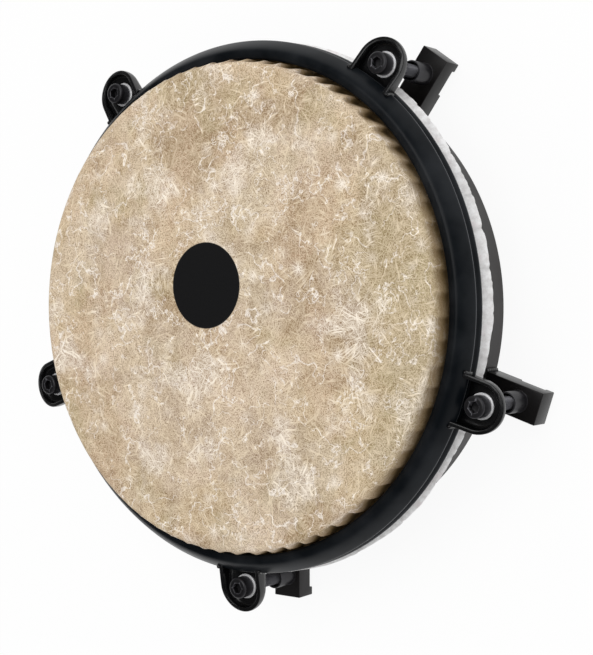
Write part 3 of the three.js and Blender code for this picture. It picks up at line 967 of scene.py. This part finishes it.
def makeEar():
    e = ear
    outline = [(e["start"], -e["halfWidth"])]
    outline += arc((e["boltCircle"], 0), (e["halfWidth"],) * 2, -90, 90, 32)
    outline += [(e["start"], e["halfWidth"])]
    piece = drawn("earCup", [(x, y, e["bottom"]) for x, y in outline], False)
    bpy.ops.mesh.edge_face_add()
    rise = (0, 0, (e["blankTop"] - e["bottom"]) * mm)
    bpy.ops.mesh.extrude_region_move(TRANSFORM_OT_translate={"value": rise})
    faceOutwards()

    def isBottomEdge(edge):
        low = all(v.co.z < e["bottom"] * mm + onPlane for v in edge.verts)
        atHoop = all(v.co.x < e["start"] * mm + onPlane for v in edge.verts)
        return low and not atHoop

    def isOpening(face):
        middle = face.calc_center_median()
        isTop = middle.z > e["blankTop"] * mm - onPlane
        return isTop or (middle.x < e["start"] * mm + onPlane and abs(face.normal.x) > 0.9)

    # round the bottom edge, and open the top and the side at the hoop
    selectWhere(piece, "EDGE", isBottomEdge)
    bpy.ops.mesh.bevel(offset=e["corner"] * mm, segments=7, profile=0.5, affect="EDGES")
    selectWhere(piece, "FACE", isOpening)
    bpy.ops.mesh.delete(type="FACE")
    thicken(piece, e["wall"])
    # trim the rim to its slope
    edit(piece)
    (atHoop, high), (atTip, low) = e["rimAtHoop"], e["rimAtTip"]
    slope = Vector((high - low, 0, atTip - atHoop)).normalized()
    corner = (atHoop * mm, 0, high * mm)
    bpy.ops.mesh.bisect(plane_co=corner, plane_no=slope, clear_outer=True, use_fill=True)
    faceOutwards()
    drill(piece, 48, e["hole"], e["holeDepth"], (e["boltCircle"], e["bottom"]))
    easeEdges(piece, e["rimEase"], 45)
    # a bead of weld up each side, where the wall meets the hoop
    pieces = [piece]
    side = e["halfWidth"] + e["beadGap"]
    face = math.sqrt(hoop["bulge"][0] ** 2 - side ** 2)
    for sign in (-1, 1):
        points = [(face + inset, sign * side, z) for inset, z in e["beadPath"]]
        pieces.append(weldBead("earBead", points, e["bead"], 20 + sign))
    piece = joined(pieces)
    return smooth(piece, 35)


# Washers: bright flat rings under the bolt heads

washer = {
    "inner": 4.4,
    "outer": 7.7,
    "bottom": 57.1,
    "top": 58.3,
    "ease": 0.4,
    "grain": 0.5,
    "metallic": 0.35,
    "roughness": (0.25, 0.4),
    "dark": "#e2e2e4",
    "pale": "#f7f7f8",
}


def makeWasher():
    w = washer
    ease = w["ease"]
    section = [(w["inner"], w["bottom"]), (w["outer"] - ease, w["bottom"])]
    section += arc((w["outer"] - ease, w["bottom"] + ease), (ease, ease), -60, 0, 2)
    section += arc((w["outer"] - ease, w["top"] - ease), (ease, ease), 0, 90, 3)
    section += [(w["inner"] + ease, w["top"]), (w["inner"], w["top"] - ease)]
    return smooth(turned("washerRing", section, 72, centre=ear["boltCircle"]), 40)


# Zinc plate, tumbled bright: pale and a little soft, so it is white wherever light falls on it
def makeWasherMaterial():
    w = washer
    material, add, shader = newMaterial("brightZincPlate")
    grain = add("TexNoise", {"Vector": inMillimetres(add), "Scale": 1 / w["grain"], "Detail": 3})
    tone = add("Mix", {0: grain, 6: colour(w["dark"]), 7: colour(w["pale"])}, 2, data_type="RGBA")
    shader.inputs["Metallic"].default_value = w["metallic"]
    finishShader(add, shader, tone, (grain, *noiseSpan, *w["roughness"]))
    return material


# Tuning bolts: cap screws with a chamfered head, a hexagon socket and a rolled thread

bolt = {
    "headRadius": 6.5,
    "headBottom": 58.6,
    "headTop": 67.0,
    "headEase": 0.3,
    "sideRing": 65.2,  # rings of points on the head's side and face
    "faceRing": 3.9,
    "faceRadius": 5.0,
    "shoulderDrop": 1.3,
    "acrossFlats": 6.0,
    "socketDepth": 4.0,
    "drillDepth": 1.2,
    "drillGap": 0.35,
    "socketEase": 0.35,
    "shank": 4.0,
    "shankTop": 59.1,
    "neckEnd": 47.3,
    "core": 3.42,
    "threadTop": 46.5,
    "pitch": 1.25,
    # the thread's ridge: distance from the axis, and height over its foot
    "ridge": ((3.27, 0), (3.27, 0.9), (3.95, 0.52), (3.95, 0.38)),
    "ridgeFoot": 19.3,
    "end": 19.0,
    "endTaper": 0.7,
}


def makeBolt():
    b = bolt
    x = ear["boltCircle"]
    outer, low, top, ease = (b[key] for key in ("headRadius", "headBottom", "headTop", "headEase"))
    shoulder = (b["faceRadius"], top - b["shoulderDrop"])
    section = [(0, low), (outer - ease, low), (outer, low + ease), (outer, b["sideRing"])]
    section += arc(shoulder, (outer - b["faceRadius"], b["shoulderDrop"]), 0, 90, 6)
    section += [(b["faceRing"], top), (0, top)]
    boltHead = turned("boltHead", section, 72, closed=False, centre=x)
    drill(boltHead, 6, b["acrossFlats"] / math.sqrt(3), 2 * b["socketDepth"], (x, top))

    def isMouth(edge):
        atTop = all(abs(v.co.z - top * mm) < onPlane for v in edge.verts)
        return atTop and sum(abs(face.normal.z) < 0.1 for face in edge.link_faces) == 1

    def isFloor(face):
        drop = abs(face.calc_center_median().z - (top - b["socketDepth"]) * mm)
        return drop < onPlane and face.normal.z > 0.9

    # ease the socket's mouth, and drill its bottom
    edit(boltHead)
    selectWhere(boltHead, "EDGE", isMouth)
    bpy.ops.mesh.bevel(offset=b["socketEase"] * mm, segments=2, affect="EDGES")
    selectWhere(boltHead, "FACE", isFloor)
    bpy.ops.mesh.inset(thickness=b["drillGap"] * mm)
    bpy.ops.mesh.poke(offset=-b["drillDepth"] * mm)
    # the shank's plain neck, and the thread's core with its tapered end
    shank = turned("boltShank", [
        (0, b["shankTop"]), (b["shank"], b["shankTop"]), (b["shank"], b["neckEnd"]),
        (b["core"], b["threadTop"]), (b["core"], b["end"] + b["endTaper"]),
        (b["core"] - b["endTaper"], b["end"]), (0, b["end"]),
    ], 48, closed=False, centre=x)
    # the thread: one triangular ridge wound up the core
    foot = b["ridgeFoot"]
    ridge = drawn("boltRidge", [(out, 0, foot + up) for out, up in b["ridge"]], True)
    bpy.ops.mesh.edge_face_add()
    deselectAll()
    turns = int((b["threadTop"] - foot - b["ridge"][1][1]) / b["pitch"])
    finishWith(
        ridge, "SCREW", angle=fullTurn, screw_offset=b["pitch"] * mm, iterations=turns,
        steps=24, render_steps=24, use_merge_vertices=True, merge_threshold=sameSpot,
    )
    edit(ridge)
    bpy.ops.transform.translate(value=(x * mm, 0, 0))
    faceOutwards()
    piece = joined([boltHead, shank, ridge])
    return smooth(piece, 30)


# Arms: steel blocks with a seat milled across the rear face, welded to the shell

arm = {
    "inner": 148.9,
    "tip": 188.2,
    "width": 19.7,
    "thickness": 14.6,
    "seat": (166.7, 183.0),
    "seatDepth": 2.5,
    "ease": 0.5,
    "bead": 1.4,
    "beadStart": 1.8,
    "beadGap": 0.3,  # from the arm's faces to the middle of its weld
    "beadOut": 0.5,  # and from the shell's side
}


def makeArm():
    a = arm
    half = a["width"] / 2
    start, end = a["seat"]
    outline = [
        (a["inner"], 0), (start, 0), (start, a["seatDepth"]), (end, a["seatDepth"]),
        (end, 0), (a["tip"], 0), (a["tip"], a["thickness"]), (a["inner"], a["thickness"]),
    ]
    piece = drawn("armBlock", [(x, -half, z) for x, z in outline], True)
    bpy.ops.mesh.edge_face_add()
    bpy.ops.mesh.extrude_region_move(TRANSFORM_OT_translate={"value": (0, a["width"] * mm, 0)})
    faceOutwards()
    easeEdges(piece, a["ease"], 40)
    # the bead runs up both sides and over the front, along the shell
    side = half + a["beadGap"]
    low, high = a["beadStart"], a["thickness"]
    path = [(-side, low + (high - low) * i / 10) for i in range(11)]
    path += [(-side + 2 * side * i / 14, high + a["beadGap"]) for i in range(1, 14)]
    path += [(side, z) for y, z in path[10::-1]]
    points = [(math.sqrt(shell["radius"] ** 2 - y * y) + a["beadOut"], y, z) for y, z in path]
    piece = joined([piece, weldBead("armBead", points, a["bead"], 31)])
    return smooth(piece, 35)


# Barrels: turned tubes that stand on the arms, with an opened mouth

barrel = {
    "bore": 4.3,
    "outer": 6.5,
    "bottom": 14.5,
    "top": 29.4,
    "mouth": 5.5,
    "mouthDepth": 3.0,
    "mouthEase": 0.15,
    "mouthCone": 1.0,
    "chamfer": 0.4,
    "chamferMiddle": 0.12,
    "fillet": 0.3,
    "foot": 0.2,
}


def makeBarrel():
    b = barrel
    bore, outer, top, mouth = (b[key] for key in ("bore", "outer", "top", "mouth"))
    ease, cut, middle, fillet = b["mouthEase"], b["chamfer"], b["chamferMiddle"], b["fillet"]
    foot = b["bottom"] + b["foot"]
    section = [(bore, b["bottom"]), (outer + fillet, b["bottom"])]
    section += arc((outer + fillet, foot + fillet), (fillet, fillet), 270, 180, 4)
    section += [(outer, top - cut), (outer - middle, top - middle), (outer - cut, top)]
    section += [(mouth + ease, top), (mouth, top - ease), (mouth, top - b["mouthDepth"])]
    section += [(bore, top - b["mouthDepth"] - b["mouthCone"])]
    return smooth(turned("barrelTube", section, 72, centre=ear["boltCircle"]), 30)


# Black oxide on machined steel: a thin dark skin, satin, with paler steel on its edges, partly wear
# and partly a painted highlight

oxide = {
    "grain": 0.6,
    "grainDepth": 0.02,
    "edgeWearAndHighlight": (0.51, 0.58, 0, 0.65),  # pointiness where the pale edge, wear and painted highlight, starts and is full, and its share there
    "roughness": (0.28, 0.42),
    "metallic": 0.4,
}


def makeOxide(name, skin, steel):
    material, add, shader = newMaterial(name)
    grain = {"Vector": inMillimetres(add), "Scale": 1 / oxide["grain"], "Detail": 4}
    grain = add("TexNoise", grain)
    # paler steel on sharp edges: partly wear, partly a painted highlight
    edge = add("NewGeometry", out="Pointiness")
    edgeWearAndHighlight = add("MapRange", (edge, *oxide["edgeWearAndHighlight"]), **softly)
    tone = add("Mix", {0: edgeWearAndHighlight, 6: colour(skin), 7: colour(steel)}, 2, data_type="RGBA")
    shader.inputs["Metallic"].default_value = oxide["metallic"]
    rough = (grain, *noiseSpan, *oxide["roughness"])
    finishShader(add, shader, tone, rough, (grain, oxide["grainDepth"]))
    return material


# Five lugs, each an ear, a washer, a bolt, an arm and a barrel, modelled once on the X axis;
# the ears are powder-coated and the arms sprayed, both in satin black

lugAngles = [-90, -18, 54, 126, 198]
lugModels = [
    (makeEar(), makePaint("powderCoatBlack"), "hoop", "hoop_ear", "ear_paint"),
    (makeWasher(), makeWasherMaterial(), "hoop", "ear_washer", "washer_plate"),
    (
        makeBolt(), makeOxide("blackOxideSteel", "#1f1e21", "#8c8c92"),
        "bolt", "tuning_bolt", "bolt_steel",
    ),
    (makeArm(), makePaint("sprayedPaintBlack"), "shell", "stand_arm", "arm_paint"),
    (
        makeBarrel(), makeOxide("blackOxideTurned", "#29282b", "#5c5c60"),
        "shell", "tuning_barrel", "barrel_steel",
    ),
]
for model, material, body, node, slotName in lugModels:
    for number, angle in enumerate(lugAngles, 1):
        piece = model.copy()
        piece.data = model.data.copy()
        piece.name = f"{node}_{number}_dressed"
        piece.data.name = piece.name
        bpy.context.scene.collection.objects.link(piece)
        piece.data.transform(Matrix.Rotation(math.radians(angle), 4, "Z"))
        rider = f"bolt_{number}" if body == "bolt" else body
        dress(piece, material, rider, (f"{node}_{number}",), slotName)
    makeActive(model)
    bpy.ops.object.delete()
print("lugs made")


# Studio: a white floor, an even sky and one large soft lamp

studio = {
    "floorSize": 6.0,  # metres
    "floorDrop": 0.4,
    "floorGlow": 0.92,
    "floorTone": "#fcfcfc",
    "floorRoughness": 0.9,
    "floorShine": 0.1,
    "skyLevel": 0.66,
    "ceiling": 0.05,
    "lampPlace": (0.25, 0.55, 1.7),
    "lampSize": 1.3,
    "lampWatts": 12.5,
    "lampShine": 0.4,
}

deselectAll()
floorPlace = (0, 0, -studio["floorDrop"] * mm)
bpy.ops.mesh.primitive_plane_add(size=studio["floorSize"], location=floorPlace)
floor = named("studioFloor")
material, add, shader = newMaterial("paperFloor")
tree = material.node_tree
shader.inputs["Base Color"].default_value = colour(studio["floorTone"])
shader.inputs["Roughness"].default_value = studio["floorRoughness"]
shader.inputs["Specular IOR Level"].default_value = studio["floorShine"]
rays = add("LightPath")  # the camera's rays come first of its outputs
seen = add("Math ADD", (rays, rays.node.outputs["Is Glossy Ray"]))
seen = add("Math ADD", (seen, rays.node.outputs["Is Transmission Ray"]))
share = add("Math MULTIPLY", (seen, studio["floorGlow"]))
glow = add("Emission", ((1, 1, 1, 1), 1))
surface = add("MixShader", (share, shader.outputs[0], glow))
tree.links.new(surface, tree.nodes["Material Output"].inputs["Surface"])
floor.data.materials.append(material)

world = bpy.data.worlds.new("paleStudio")
bpy.context.scene.world = world
world.use_nodes = True
tree = world.node_tree
add = partial(addNode, tree)
rays = add("LightPath")
sky = add("Background", ((1, 1, 1, 1), studio["skyLevel"]))
# reflections see white walls and a dark ceiling, as in a studio behind the camera
up = add("SeparateXYZ", (add("TexCoord", out="Generated"),), out="Z")
walls = add("MapRange", (up, 0.0, 0.5, 1, studio["ceiling"]), **softly)
room = add("Background", ((1, 1, 1, 1), walls))
white = add("Background", ((1, 1, 1, 1), 1))
surface = add("MixShader", (rays.node.outputs["Is Glossy Ray"], sky, room))
seen = add("Math ADD", (rays, rays.node.outputs["Is Transmission Ray"]))
surface = add("MixShader", (seen, surface, white))
tree.links.new(surface, tree.nodes["World Output"].inputs["Surface"])

deselectAll()
bpy.ops.object.light_add(type="AREA", location=studio["lampPlace"])
lamp = bpy.context.object
lamp.data.size = studio["lampSize"]
lamp.data.energy = studio["lampWatts"]
lamp.data.specular_factor = studio["lampShine"]
lamp.rotation_euler = Vector(studio["lampPlace"]).to_track_quat("Z", "Y").to_euler()
bpy.context.scene.view_settings.view_transform = "Standard"
print("studio made")
